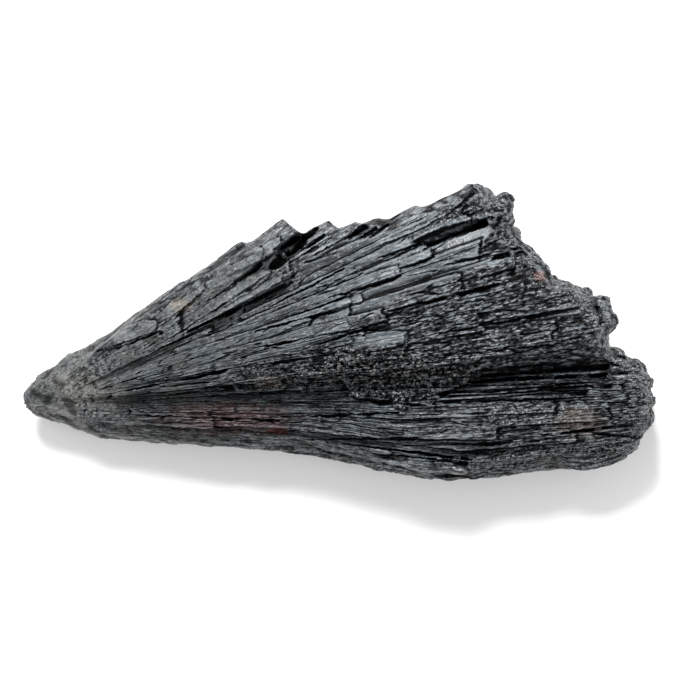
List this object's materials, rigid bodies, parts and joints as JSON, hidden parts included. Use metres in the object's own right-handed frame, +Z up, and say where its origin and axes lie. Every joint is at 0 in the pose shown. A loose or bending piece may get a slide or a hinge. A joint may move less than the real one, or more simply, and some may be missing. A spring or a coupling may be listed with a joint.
{
  "type": "black kyanite fan",
  "caption": "Black kyanite fan lying on its broad back: flat dark grey blades grown together from a blunt root and splaying to a stepped, broken rim.",
  "frame": {"origin": "middle of the box around the fan, on the plane it rests on", "axes": "+X along the fan from the root to the rim, +Z up out of the broad upper face"},
  "size_m": [0.07, 0.033, 0.016],
  "materials": {
    "black_kyanite": "natural uncut crystal, satin on the broad blades and rough at the root and rim"
  },
  "bodies": {
    "root": {"kyanite_fan": "black_kyanite"}
  },
  "joints": []
}
